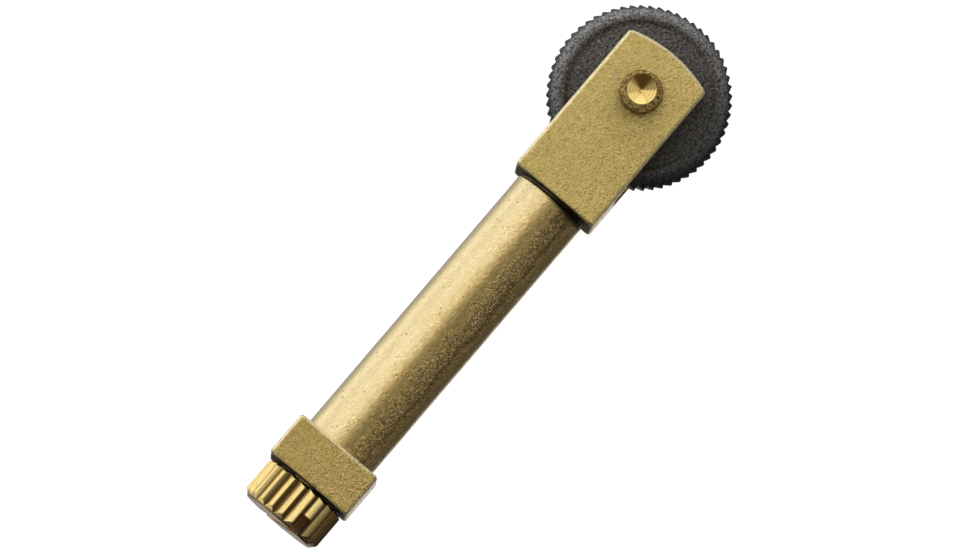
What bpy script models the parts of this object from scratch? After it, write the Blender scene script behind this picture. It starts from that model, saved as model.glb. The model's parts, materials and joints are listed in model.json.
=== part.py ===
"""Flint wheel spark striker, as the separate pieces that it comes apart into.

The tool lies along X with its spark wheel at the +X end. Z is 0 on the surface that it
lies on, and X and Y are 0 at the middle of its length and width. The spark wheel turns
about Z. The flints, their plunger and spring, and the thumb screw lie on the barrel's
axis, which runs along X.
"""

import math

import bmesh
import bpy

MM = 0.001

# Square stock of the yoke and the end collar
BLOCK_SIDE = 6.5 * MM
EDGE_BEVEL = 0.12 * MM
AXIS_HEIGHT = BLOCK_SIDE / 2

# Spark wheel
WHEEL_TEETH = 61
WHEEL_TIP_RADIUS = 6.1 * MM
WHEEL_ROOT_RADIUS = 5.88 * MM
WHEEL_BLANK_RADIUS = 6.15 * MM
WHEEL_HUB_THICKNESS = 3.5 * MM
WHEEL_RIM_THICKNESS = 3.0 * MM
WHEEL_WEB_THICKNESS = 2.4 * MM
WHEEL_RIM_INNER_RADIUS = 5.0 * MM
WHEEL_CREST_RADIUS = 5.25 * MM
WHEEL_CROWN_STEPS = 5
WHEEL_HUB_RADIUS = 2.1 * MM
WHEEL_BORE_RADIUS = 1.05 * MM
WHEEL_STEP = 0.15 * MM
TOOTH_FACE_SHARE = 0.2
TOOTH_LAND_SHARE = 0.12

# Yoke, measured from the wheel's axle
YOKE_BACK = 8.77 * MM
YOKE_NOSE = 3.3 * MM
YOKE_NOSE_RADIUS = 9.5 * MM
YOKE_NOSE_STEPS = 12
SLOT_WIDTH = 3.7 * MM
SLOT_DEPTH = 6.4 * MM

# Barrel and end collar
BARREL_RADIUS = 2.675 * MM
BARREL_LENGTH = 21.53 * MM
SPIGOT_RADIUS = 2.2 * MM
FLINT_BORE_RADIUS = 1.3 * MM
COLLAR_LENGTH = 3.22 * MM
BORE_CHAMFER = 0.15 * MM

# Axle rivet
AXLE_RADIUS = 1.0 * MM
BOSS_RADIUS = 1.45 * MM
BOSS_HEIGHT = 0.45 * MM
BOSS_ROUND = 0.2 * MM
BOSS_RIM_WIDTH = 0.18 * MM
FLUSH_HEAD_RADIUS = 1.4 * MM
FLUSH_HEAD_DEPTH = 0.4 * MM

# Thumb screw, M3 by 0.5
HEAD_RADIUS = 3.0 * MM
HEAD_LENGTH = 2.9 * MM
HEAD_TEETH = 21
HEAD_PHASE = math.radians(-4.0)
HEAD_GROOVE_DEPTH = 0.34 * MM
HEAD_LAND_SHARE = 0.5
HEAD_FLOOR_SHARE = 0.26
HEAD_CHAMFER = 0.38 * MM
DRIVER_SLOT_WIDTH = 0.75 * MM
DRIVER_SLOT_DEPTH = 0.85 * MM
DRIVER_SLOT_ANGLE = math.radians(29.6)
THREAD_RADIUS = 1.475 * MM
THREAD_ROOT_RADIUS = 1.2 * MM
THREAD_PITCH = 0.5 * MM
THREAD_STEPS = 24
SHANK_LENGTH = 4.5 * MM
NECK_LENGTH = 0.6 * MM
TAPPED_RADIUS = 1.53 * MM
TAPPED_DEPTH = 5.4 * MM

# Flints, plunger and spring
FLINT_COUNT = 3
FLINT_RADIUS = 1.225 * MM
FLINT_LENGTH = 4.9 * MM
WORN_FLINT_LENGTH = 4.6 * MM
FLINT_WHEEL_GAP = 0.04 * MM
PLUNGER_RADIUS = 1.22 * MM
PLUNGER_HEAD_LENGTH = 1.0 * MM
PLUNGER_STEM_RADIUS = 0.6 * MM
PLUNGER_STEM_LENGTH = 2.2 * MM
WIRE_RADIUS = 0.14 * MM
WIRE_SIDES = 6
SPRING_MEAN_RADIUS = 1.03 * MM
SPRING_CLOSED_PITCH = 0.32 * MM
SPRING_ACTIVE_TURNS = 7
SPRING_STEPS = 16

# Gaps
SEAT_GAP = 0.02 * MM
HEAD_GAP = 0.12 * MM
AXLE_GAP = 0.02 * MM
CUT_MARGIN = 1.0 * MM
WELD_DISTANCE = 1e-7

# Places along the tool
LENGTH = YOKE_BACK + BARREL_LENGTH + COLLAR_LENGTH + HEAD_GAP + HEAD_LENGTH + WHEEL_TIP_RADIUS
AXLE_X = LENGTH / 2 - WHEEL_TIP_RADIUS
SLOT_FLOOR_X = AXLE_X - SLOT_DEPTH
YOKE_BACK_X = AXLE_X - YOKE_BACK
COLLAR_FRONT_X = YOKE_BACK_X - BARREL_LENGTH
COLLAR_END_X = COLLAR_FRONT_X - COLLAR_LENGTH
HEAD_FRONT_X = COLLAR_END_X - HEAD_GAP
HEAD_END_X = HEAD_FRONT_X - HEAD_LENGTH
SHANK_TIP_X = COLLAR_END_X + SHANK_LENGTH
FLINT_TIP_X = AXLE_X - WHEEL_TIP_RADIUS - FLINT_WHEEL_GAP

X_AXIS = (1, 0, 0)
Z_AXIS = (0, 0, 1)
ROUND_STEPS = 48
SMALL_ROUND_STEPS = 32


def clear_scene():
    for thing in list(bpy.data.objects):
        bpy.data.objects.remove(thing, do_unlink=True)


def material(name, color, roughness, metallic):
    made = bpy.data.materials.new(name)
    made.use_nodes = True
    shader = made.node_tree.nodes["Principled BSDF"]
    shader.inputs["Base Color"].default_value = (*color, 1.0)
    shader.inputs["Roughness"].default_value = roughness
    shader.inputs["Metallic"].default_value = metallic
    return made


def place(name, bm, location, finish=None):
    """Makes an object of the bmesh, with its origin at location."""
    mesh = bpy.data.meshes.new(name)
    bmesh.ops.recalc_face_normals(bm, faces=bm.faces)
    bm.to_mesh(mesh)
    bm.free()
    piece = bpy.data.objects.new(name, mesh)
    piece.location = location
    bpy.context.collection.objects.link(piece)
    if finish:
        mesh.materials.append(finish)
        mesh.shade_smooth()
        mesh.set_sharp_from_angle(angle=math.radians(30))
    else:
        piece.hide_render = True
        piece.display_type = "WIRE"
    return piece


def add_boolean(piece, other, operation):
    modifier = piece.modifiers.new(other.name, "BOOLEAN")
    modifier.object = other
    modifier.operation = operation
    modifier.solver = "EXACT"


def add_bevel(piece, width):
    modifier = piece.modifiers.new("edges", "BEVEL")
    modifier.width = width
    modifier.segments = 2
    modifier.limit_method = "ANGLE"
    modifier.angle_limit = math.radians(50)


def spun(outline, axis, steps):
    """A solid of revolution. The outline is (along, radius) points: a closed ring, or a
    run that starts and ends on the axis."""
    bm = bmesh.new()
    if axis == X_AXIS:
        verts = [bm.verts.new((along, 0, radius)) for along, radius in outline]
    else:
        verts = [bm.verts.new((radius, 0, along)) for along, radius in outline]
    edges = [bm.edges.new(pair) for pair in zip(verts, verts[1:])]
    if outline[0][1] > 0:
        edges.append(bm.edges.new((verts[-1], verts[0])))
    bmesh.ops.spin(
        bm,
        geom=verts + edges,
        cent=(0, 0, 0),
        axis=axis,
        angle=math.tau,
        steps=steps,
        use_merge=True,
    )
    bmesh.ops.remove_doubles(bm, verts=bm.verts, dist=WELD_DISTANCE)
    return bm


def lofted(loops):
    """A solid through loops of the same number of points, with flat ends."""
    bm = bmesh.new()
    rows = [[bm.verts.new(point) for point in loop] for loop in loops]
    count = len(rows[0])
    for low, high in zip(rows, rows[1:]):
        for i in range(count):
            j = (i + 1) % count
            bm.faces.new((low[i], low[j], high[j], high[i]))
    bm.faces.new(rows[0])
    bm.faces.new(rows[-1])
    return bm


def upright(outline, low, high):
    """The XY outline, raised from low to high along Z."""
    return lofted([[(x, y, z) for x, y in outline] for z in (low, high)])


def box(size):
    bm = bmesh.new()
    bmesh.ops.create_cube(bm, size=1.0)
    bmesh.ops.scale(bm, vec=size, verts=bm.verts)
    return bm


def yoke_outline():
    """The yoke from above, about the axle: straight sides and back, and a curved nose."""
    half = BLOCK_SIDE / 2
    reach = math.asin(half / YOKE_NOSE_RADIUS)
    centre = YOKE_NOSE - YOKE_NOSE_RADIUS
    outline = [(-YOKE_BACK, half), (-YOKE_BACK, -half)]
    for step in range(YOKE_NOSE_STEPS + 1):
        angle = reach * (2 * step / YOKE_NOSE_STEPS - 1)
        x = centre + YOKE_NOSE_RADIUS * math.cos(angle)
        outline.append((x, YOKE_NOSE_RADIUS * math.sin(angle)))
    return outline


def axle_outline(gap):
    """The axle's shank and flush lower head, about the wheel's middle, grown by gap."""
    bottom = -AXIS_HEIGHT
    return [
        (bottom + SEAT_GAP - gap, 0),
        (bottom + SEAT_GAP - gap, FLUSH_HEAD_RADIUS + gap),
        (bottom + FLUSH_HEAD_DEPTH, AXLE_RADIUS + gap),
        (AXIS_HEIGHT + SEAT_GAP, AXLE_RADIUS + gap),
    ]


def make_yoke(brass):
    centre = (AXLE_X, 0, AXIS_HEIGHT)
    yoke = place("yoke", upright(yoke_outline(), -AXIS_HEIGHT, AXIS_HEIGHT), centre, brass)
    slot_end = YOKE_NOSE + CUT_MARGIN
    slot = place(
        "slot_cutter",
        box((slot_end + SLOT_DEPTH, BLOCK_SIDE + 2 * CUT_MARGIN, SLOT_WIDTH)),
        (AXLE_X + (slot_end - SLOT_DEPTH) / 2, 0, AXIS_HEIGHT),
    )
    hole = axle_outline(AXLE_GAP)
    hole[0] = (hole[0][0] - CUT_MARGIN, 0)
    hole[1] = (hole[0][0], hole[1][1])
    hole.insert(2, (-AXIS_HEIGHT, FLUSH_HEAD_RADIUS + AXLE_GAP))
    hole += [(AXIS_HEIGHT + CUT_MARGIN, AXLE_RADIUS + AXLE_GAP), (AXIS_HEIGHT + CUT_MARGIN, 0)]
    axle_hole = place("axle_hole_cutter", spun(hole, Z_AXIS, ROUND_STEPS), centre)
    socket_radius = SPIGOT_RADIUS + SEAT_GAP
    socket = [
        (-CUT_MARGIN, 0),
        (-CUT_MARGIN, socket_radius),
        (YOKE_BACK - SLOT_DEPTH + CUT_MARGIN, socket_radius),
        (YOKE_BACK - SLOT_DEPTH + CUT_MARGIN, 0),
    ]
    barrel_hole = place(
        "yoke_socket_cutter",
        spun(socket, X_AXIS, ROUND_STEPS),
        (YOKE_BACK_X, 0, AXIS_HEIGHT),
    )
    add_boolean(yoke, slot, "DIFFERENCE")
    add_bevel(yoke, EDGE_BEVEL)
    add_boolean(yoke, axle_hole, "DIFFERENCE")
    add_boolean(yoke, barrel_hole, "DIFFERENCE")


def make_collar(brass):
    centre = (COLLAR_FRONT_X - COLLAR_LENGTH / 2, 0, AXIS_HEIGHT)
    collar = place("end_collar", box((COLLAR_LENGTH, BLOCK_SIDE, BLOCK_SIDE)), centre, brass)
    reach = COLLAR_LENGTH / 2 + CUT_MARGIN
    radius = SPIGOT_RADIUS + SEAT_GAP
    hole = [(-reach, 0), (-reach, radius), (reach, radius), (reach, 0)]
    cutter = place("collar_hole_cutter", spun(hole, X_AXIS, ROUND_STEPS), centre)
    add_bevel(collar, EDGE_BEVEL)
    add_boolean(collar, cutter, "DIFFERENCE")


def make_barrel(brass):
    """The barrel, with a spigot pressed into the yoke and one into the collar, its flint
    bore, and the wider bore that stands for the tapped hole."""
    front = SLOT_FLOOR_X - SEAT_GAP
    back = COLLAR_END_X + SEAT_GAP
    front_shoulder = YOKE_BACK_X - SEAT_GAP
    back_shoulder = COLLAR_FRONT_X + SEAT_GAP
    tapped_end = COLLAR_END_X + TAPPED_DEPTH
    outline = [
        (front, FLINT_BORE_RADIUS + BORE_CHAMFER),
        (front, SPIGOT_RADIUS),
        (front_shoulder, SPIGOT_RADIUS),
        (front_shoulder, BARREL_RADIUS),
        (back_shoulder, BARREL_RADIUS),
        (back_shoulder, SPIGOT_RADIUS),
        (back, SPIGOT_RADIUS),
        (back, TAPPED_RADIUS + BORE_CHAMFER),
        (back + BORE_CHAMFER, TAPPED_RADIUS),
        (tapped_end, TAPPED_RADIUS),
        (tapped_end + TAPPED_RADIUS - FLINT_BORE_RADIUS, FLINT_BORE_RADIUS),
        (front - BORE_CHAMFER, FLINT_BORE_RADIUS),
    ]
    place("barrel", spun(outline, X_AXIS, ROUND_STEPS), (0, 0, AXIS_HEIGHT), brass)


def make_axle(brass):
    """The axle rivet: flush countersunk below, and above a raised boss with a drilled cone."""
    low = AXIS_HEIGHT + SEAT_GAP
    top = AXIS_HEIGHT + BOSS_HEIGHT
    rim = BOSS_RADIUS - BOSS_ROUND
    cone = rim - BOSS_RIM_WIDTH
    outline = axle_outline(0)
    outline += [(low, BOSS_RADIUS), (top - BOSS_ROUND, BOSS_RADIUS)]
    for step in (1, 2, 3):
        angle = math.pi / 2 * step / 3
        outline.append((top - BOSS_ROUND * (1 - math.sin(angle)), rim + BOSS_ROUND * math.cos(angle)))
    outline += [(top, cone), (top - cone, 0)]
    place("wheel_axle", spun(outline, Z_AXIS, ROUND_STEPS), (AXLE_X, 0, AXIS_HEIGHT), brass)


def wheel_tooth_outline():
    """Saw teeth whose radius climbs gently with the angle about Z and then drops."""
    pitch = math.tau / WHEEL_TEETH
    outline = []
    for tooth in range(WHEEL_TEETH):
        start = pitch * tooth
        crest = start + pitch * (1 - TOOTH_FACE_SHARE)
        land = crest - pitch * TOOTH_LAND_SHARE
        for angle, radius in (
            (start, WHEEL_ROOT_RADIUS),
            (land, WHEEL_TIP_RADIUS),
            (crest, WHEEL_TIP_RADIUS),
        ):
            outline.append((radius * math.cos(angle), radius * math.sin(angle)))
    return outline


def wheel_blank_outline():
    """Half section of the turned wheel: hub, sunk web, and a rim crowned towards its edge."""
    hub = WHEEL_HUB_THICKNESS / 2
    web = WHEEL_WEB_THICKNESS / 2
    crest = WHEEL_RIM_THICKNESS / 2
    upper = [
        (hub, WHEEL_BORE_RADIUS),
        (hub, WHEEL_HUB_RADIUS),
        (web, WHEEL_HUB_RADIUS + WHEEL_STEP),
        (web, WHEEL_RIM_INNER_RADIUS),
    ]
    crown = WHEEL_BLANK_RADIUS - WHEEL_CREST_RADIUS
    for step in range(WHEEL_CROWN_STEPS):
        angle = math.pi / 2 * step / WHEEL_CROWN_STEPS
        upper.append((crest * math.cos(angle), WHEEL_CREST_RADIUS + crown * math.sin(angle)))
    middle = [(0, WHEEL_BLANK_RADIUS)]
    return upper + middle + [(-z, radius) for z, radius in reversed(upper)]


def make_wheel(steel):
    centre = (AXLE_X, 0, AXIS_HEIGHT)
    wheel = place("spark_wheel", spun(wheel_blank_outline(), Z_AXIS, WHEEL_TEETH), centre, steel)
    teeth = place(
        "wheel_tooth_form",
        upright(wheel_tooth_outline(), -WHEEL_HUB_THICKNESS, WHEEL_HUB_THICKNESS),
        centre,
    )
    add_boolean(wheel, teeth, "INTERSECT")


def around_x(x, radius, angle):
    """A point about the X axis. The angle starts at +Z and grows towards -Y."""
    return (x, -radius * math.sin(angle), radius * math.cos(angle))


def head_loop(x, largest):
    """The splined outline of the thumb screw's head, turned down to the largest radius."""
    pitch = math.tau / HEAD_TEETH
    root = HEAD_RADIUS - HEAD_GROOVE_DEPTH
    loop = []
    for tooth in range(HEAD_TEETH):
        middle = HEAD_PHASE + pitch * tooth
        for angle, radius in (
            (middle - pitch * HEAD_LAND_SHARE / 2, HEAD_RADIUS),
            (middle + pitch * HEAD_LAND_SHARE / 2, HEAD_RADIUS),
            (middle + pitch * (1 - HEAD_FLOOR_SHARE) / 2, root),
            (middle + pitch * (1 + HEAD_FLOOR_SHARE) / 2, root),
        ):
            loop.append(around_x(x, min(radius, largest), angle))
    return loop


def threaded_shank(root_x, start, end):
    """A right-hand thread from start to end along X, on a plain neck that starts at root_x.

    Each row of points is one line of the thread's profile, climbing along the helix. Points
    past either end are brought back to it at the root radius, where they weld together."""
    profile = (THREAD_RADIUS, THREAD_RADIUS, THREAD_ROOT_RADIUS, THREAD_ROOT_RADIUS)
    row_step = THREAD_PITCH / len(profile)
    last_row = math.ceil((end - start) / row_step) + 1
    bm = bmesh.new()
    rows = []
    for row in range(-len(profile), last_row + 1):
        verts = []
        for step in range(THREAD_STEPS + 1):
            turn = step / THREAD_STEPS
            x = start + row_step * row + THREAD_PITCH * turn
            radius = profile[row % len(profile)] if start < x < end else THREAD_ROOT_RADIUS
            x = min(max(x, start), end)
            verts.append(bm.verts.new(around_x(x, radius, math.tau * turn)))
        rows.append(verts)
    for low, high in zip(rows, rows[1:]):
        for i in range(THREAD_STEPS):
            bm.faces.new((low[i], low[i + 1], high[i + 1], high[i]))
    bmesh.ops.remove_doubles(bm, verts=bm.verts, dist=WELD_DISTANCE)
    ends = bmesh.ops.holes_fill(bm, edges=[edge for edge in bm.edges if edge.is_boundary])
    root = min(ends["faces"], key=lambda face: face.calc_center_median().x)
    neck = bmesh.ops.extrude_discrete_faces(bm, faces=[root])["faces"]
    bmesh.ops.translate(bm, vec=(root_x - start, 0, 0), verts=neck[0].verts)
    return bm


def make_thumb_screw(brass):
    """The splined head with its driver slot, and the threaded shank, about its own axis."""
    origin = (HEAD_FRONT_X, 0, AXIS_HEIGHT)
    end_radius = HEAD_RADIUS - HEAD_CHAMFER
    root = HEAD_RADIUS - HEAD_GROOVE_DEPTH
    root_inset = HEAD_CHAMFER - HEAD_GROOVE_DEPTH
    stations = [
        (0, end_radius),
        (root_inset, root),
        (HEAD_CHAMFER, HEAD_RADIUS),
        (HEAD_LENGTH - HEAD_CHAMFER, HEAD_RADIUS),
        (HEAD_LENGTH - root_inset, root),
        (HEAD_LENGTH, end_radius),
    ]
    head = place(
        "thumb_screw",
        lofted([head_loop(-x, radius) for x, radius in stations]),
        origin,
        brass,
    )
    thread = threaded_shank(-HEAD_LENGTH / 3, NECK_LENGTH, SHANK_TIP_X - HEAD_FRONT_X)
    shank = place("shank_form", thread, origin)
    slot = place(
        "driver_slot_cutter",
        box((2 * DRIVER_SLOT_DEPTH, DRIVER_SLOT_WIDTH, 3 * HEAD_RADIUS)),
        (HEAD_END_X, 0, AXIS_HEIGHT),
    )
    slot.rotation_euler.x = DRIVER_SLOT_ANGLE
    add_boolean(head, slot, "DIFFERENCE")
    add_boolean(head, shank, "UNION")


def make_flints(lacquer):
    """The flints in line. The first one is worn hollow by the wheel that it touches."""
    front = FLINT_TIP_X + WHEEL_STEP
    lengths = [WORN_FLINT_LENGTH + WHEEL_STEP] + [FLINT_LENGTH] * (FLINT_COUNT - 1)
    flints = []
    for number, length in enumerate(lengths, start=1):
        outline = [(-length, 0), (-length, FLINT_RADIUS), (0, FLINT_RADIUS), (0, 0)]
        name = f"flint_{number}"
        flints.append(
            place(name, spun(outline, X_AXIS, SMALL_ROUND_STEPS), (front, 0, AXIS_HEIGHT), lacquer)
        )
        front -= length + SEAT_GAP
    wear_radius = WHEEL_TIP_RADIUS + FLINT_WHEEL_GAP
    wear = [(-wear_radius, 0), (-wear_radius, wear_radius), (wear_radius, wear_radius), (wear_radius, 0)]
    cutter = place("wear_cutter", spun(wear, Z_AXIS, 3 * ROUND_STEPS), (AXLE_X, 0, AXIS_HEIGHT))
    add_boolean(flints[0], cutter, "DIFFERENCE")
    return front


def make_plunger(brass, front):
    outline = [
        (0, 0),
        (0, PLUNGER_RADIUS),
        (-PLUNGER_HEAD_LENGTH, PLUNGER_RADIUS),
        (-PLUNGER_HEAD_LENGTH, PLUNGER_STEM_RADIUS),
        (-PLUNGER_HEAD_LENGTH - PLUNGER_STEM_LENGTH, PLUNGER_STEM_RADIUS),
        (-PLUNGER_HEAD_LENGTH - PLUNGER_STEM_LENGTH, 0),
    ]
    place("flint_plunger", spun(outline, X_AXIS, SMALL_ROUND_STEPS), (front, 0, AXIS_HEIGHT), brass)


def coil_height(turn, turns, active_pitch):
    """How far the wire has climbed after some turns: a closed turn at each end."""
    closed = min(turn, 1) + max(turn - (turns - 1), 0)
    active = min(max(turn - 1, 0), turns - 2)
    return closed * SPRING_CLOSED_PITCH + active * active_pitch


def make_spring(steel, back, front):
    """A round-wire coil from back to front along X."""
    turns = SPRING_ACTIVE_TURNS + 2
    climb = front - back - 2 * (WIRE_RADIUS + SEAT_GAP)
    active_pitch = (climb - 2 * SPRING_CLOSED_PITCH) / SPRING_ACTIVE_TURNS
    loops = []
    for step in range(turns * SPRING_STEPS + 1):
        turn = step / SPRING_STEPS
        x = WIRE_RADIUS + SEAT_GAP + coil_height(turn, turns, active_pitch)
        loop = []
        for side in range(WIRE_SIDES):
            angle = math.tau * side / WIRE_SIDES
            radius = SPRING_MEAN_RADIUS + WIRE_RADIUS * math.cos(angle)
            loop.append(around_x(x + WIRE_RADIUS * math.sin(angle), radius, math.tau * turn))
        loops.append(loop)
    place("feed_spring", lofted(loops), (back, 0, AXIS_HEIGHT), steel)


def main():
    clear_scene()
    flat_brass = material("flat_brass", (0.45, 0.34, 0.12), 0.42, 1.0)
    tube_brass = material("tube_brass", (0.58, 0.44, 0.19), 0.3, 1.0)
    bright_brass = material("bright_brass", (0.64, 0.48, 0.2), 0.25, 1.0)
    wheel_steel = material("wheel_steel", (0.06, 0.055, 0.05), 0.55, 0.8)
    spring_steel = material("spring_steel", (0.45, 0.45, 0.46), 0.3, 1.0)
    flint_lacquer = material("flint_lacquer", (0.42, 0.26, 0.08), 0.5, 0.6)
    make_yoke(flat_brass)
    make_collar(flat_brass)
    make_barrel(tube_brass)
    make_axle(bright_brass)
    make_wheel(wheel_steel)
    make_thumb_screw(bright_brass)
    plunger_front = make_flints(flint_lacquer)
    make_plunger(bright_brass, plunger_front)
    make_spring(spring_steel, SHANK_TIP_X, plunger_front - PLUNGER_HEAD_LENGTH)


main()
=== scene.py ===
"""Looks of the flint wheel spark striker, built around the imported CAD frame.

Shapes are modelled in millimetres about the tool's own axes and placed in metres at the end.
X runs along the tool to the spark wheel, Z is up, and the barrel's axis is at half height.
"""

import json
import math

import bmesh
import bpy
from mathutils import Matrix, Vector, noise


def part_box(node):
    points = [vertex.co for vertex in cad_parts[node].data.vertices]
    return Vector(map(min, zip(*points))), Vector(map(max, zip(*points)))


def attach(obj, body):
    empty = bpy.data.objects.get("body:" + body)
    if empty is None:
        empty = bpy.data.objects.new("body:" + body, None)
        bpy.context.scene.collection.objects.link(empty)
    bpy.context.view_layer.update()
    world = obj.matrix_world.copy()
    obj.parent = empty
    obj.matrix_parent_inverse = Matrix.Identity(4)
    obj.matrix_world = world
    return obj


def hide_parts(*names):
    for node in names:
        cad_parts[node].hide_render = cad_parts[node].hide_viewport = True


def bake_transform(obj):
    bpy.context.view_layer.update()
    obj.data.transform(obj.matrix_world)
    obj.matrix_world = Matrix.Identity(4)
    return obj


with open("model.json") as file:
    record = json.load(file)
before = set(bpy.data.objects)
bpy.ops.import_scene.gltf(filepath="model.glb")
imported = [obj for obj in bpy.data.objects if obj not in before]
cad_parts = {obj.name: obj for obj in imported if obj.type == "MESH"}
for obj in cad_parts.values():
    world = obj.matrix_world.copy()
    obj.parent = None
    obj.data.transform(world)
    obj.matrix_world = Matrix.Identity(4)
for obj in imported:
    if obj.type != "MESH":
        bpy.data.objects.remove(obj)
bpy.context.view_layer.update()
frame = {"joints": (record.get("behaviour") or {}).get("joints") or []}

MM = 0.001

# Places and sizes of the CAD pieces, in millimetres


def box_mm(node):
    """The CAD node's low and high corners, in millimetres."""
    low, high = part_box(node)
    return low / MM, high / MM


def joint_place(name):
    found = [joint for joint in frame["joints"] if joint["name"] == name]
    return Vector(found[0]["pos_m"]) / MM


YOKE_LOW, YOKE_HIGH = box_mm("yoke")
COLLAR_LOW, COLLAR_HIGH = box_mm("end_collar")
BARREL_LOW, BARREL_HIGH = box_mm("barrel")
AXLE_LOW, AXLE_HIGH = box_mm("wheel_axle")
WHEEL_LOW, WHEEL_HIGH = box_mm("spark_wheel")
SCREW_LOW, SCREW_HIGH = box_mm("thumb_screw")
PLUNGER_LOW, PLUNGER_HIGH = box_mm("flint_plunger")
SPRING_LOW, SPRING_HIGH = box_mm("feed_spring")

AXLE = joint_place("wheel_spin")
HEAD_FRONT = joint_place("thumb_screw_turn")
AXIS_Z = AXLE.z
BLOCK_HALF = (YOKE_HIGH.z - YOKE_LOW.z) / 2
BARREL_RADIUS = BARREL_HIGH.y
HEAD_RADIUS = SCREW_HIGH.z - AXIS_Z
WHEEL_RADIUS = (WHEEL_HIGH.x - WHEEL_LOW.x) / 2
WHEEL_HALF = (WHEEL_HIGH.z - WHEEL_LOW.z) / 2


# ---------------------------------------------------------------- mesh helpers


def grid(rows, closed_rows=False, caps=True):
    """A surface through rows of points. Each row is a closed loop of the same length."""
    bm = bmesh.new()
    lines = [[bm.verts.new(point) for point in row] for row in rows]
    pairs = list(zip(lines, lines[1:]))
    if closed_rows:
        pairs.append((lines[-1], lines[0]))
    count = len(lines[0])
    for low, high in pairs:
        for i in range(count):
            j = (i + 1) % count
            bm.faces.new((low[i], low[j], high[j], high[i]))
    if caps and not closed_rows:
        for line in (lines[0], lines[-1]):
            centre = bm.verts.new(sum((v.co for v in line), Vector()) / count)
            for i in range(count):
                bm.faces.new((line[i], line[(i + 1) % count], centre))
    bmesh.ops.recalc_face_normals(bm, faces=bm.faces)
    return bm


def arc(centre, radius, start, end, steps):
    """Points (along, across) on an arc, with its angles in degrees."""
    points = []
    for step in range(steps + 1):
        angle = math.radians(start + (end - start) * step / steps)
        points.append((centre[0] + radius * math.cos(angle), centre[1] + radius * math.sin(angle)))
    return points


def along(start, end, spacing):
    """Points on a straight line at about the spacing, without its first point."""
    length = math.hypot(end[0] - start[0], end[1] - start[1])
    steps = max(1, round(length / spacing))
    return [
        (start[0] + (end[0] - start[0]) * i / steps, start[1] + (end[1] - start[1]) * i / steps)
        for i in range(1, steps + 1)
    ]


def turned_x(profile, steps):
    """Rows of a solid turned about the tool's axis, from (x, radius) points."""
    rows = []
    for x, radius in profile:
        row = []
        for step in range(steps):
            angle = math.tau * step / steps
            row.append((x, radius * math.cos(angle), AXIS_Z + radius * math.sin(angle)))
        rows.append(row)
    return rows


def turned_z(profile, steps, origin):
    """Rows of a solid turned about an upright line through origin, from (z, radius) points."""
    rows = []
    for z, radius in profile:
        row = []
        for step in range(steps):
            angle = math.tau * step / steps
            row.append((origin.x + radius * math.cos(angle), origin.y + radius * math.sin(angle), z))
        rows.append(row)
    return rows


def rough(point, scale, octaves=3):
    """Smooth noise from about -1 to 1 at the point, with features of 1 / scale."""
    value = 0.0
    share = 1.0
    at = Vector(point) * scale
    for _ in range(octaves):
        value += share * noise.noise(at)
        at = at * 2.03 + Vector((7.1, 3.7, 5.3))
        share *= 0.5
    return value


def pit(point, scale, width):
    """0 on the plain surface and up to 1 in the middle of scattered round pits."""
    distance = noise.voronoi(Vector(point) * scale)[0][0]
    return max(0.0, 1.0 - distance / width) ** 2


def push(bm, height):
    """Moves each point along its normal by height(point)."""
    bm.normal_update()
    moves = [(vert, vert.normal * height(vert.co)) for vert in bm.verts]
    for vert, move in moves:
        vert.co += move


def object_of(name, bm, finish=None):
    """A mesh object from the bmesh, which is used up."""
    mesh = bpy.data.meshes.new(name)
    bm.to_mesh(mesh)
    bm.free()
    made = bpy.data.objects.new(name, mesh)
    bpy.context.scene.collection.objects.link(made)
    if finish:
        mesh.materials.append(finish)
    return made


def carve(piece, cutters, operation="DIFFERENCE"):
    """Cuts the other objects out of the piece, or joins them to it, and removes them."""
    for cutter in cutters:
        modifier = piece.modifiers.new("carve", "BOOLEAN")
        modifier.object = cutter
        modifier.operation = operation
        modifier.solver = "EXACT"
    bpy.context.view_layer.update()
    depsgraph = bpy.context.evaluated_depsgraph_get()
    result = bpy.data.meshes.new_from_object(piece.evaluated_get(depsgraph))
    piece.modifiers.clear()
    old = piece.data
    piece.data = result
    bpy.data.meshes.remove(old)
    for cutter in cutters:
        bpy.data.objects.remove(cutter, do_unlink=True)


def settle(piece, body, nodes, sharp=40.0):
    """Brings the piece from millimetres to metres, gives it its body, and hides the CAD nodes it
    stands for.
    """
    piece.data.transform(Matrix.Scale(MM, 4))
    piece.data.shade_smooth()
    piece.data.set_sharp_from_angle(angle=math.radians(sharp))
    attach(piece, body)
    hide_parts(*nodes)
    return piece


# ------------------------------------------------------------ material helpers


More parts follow.
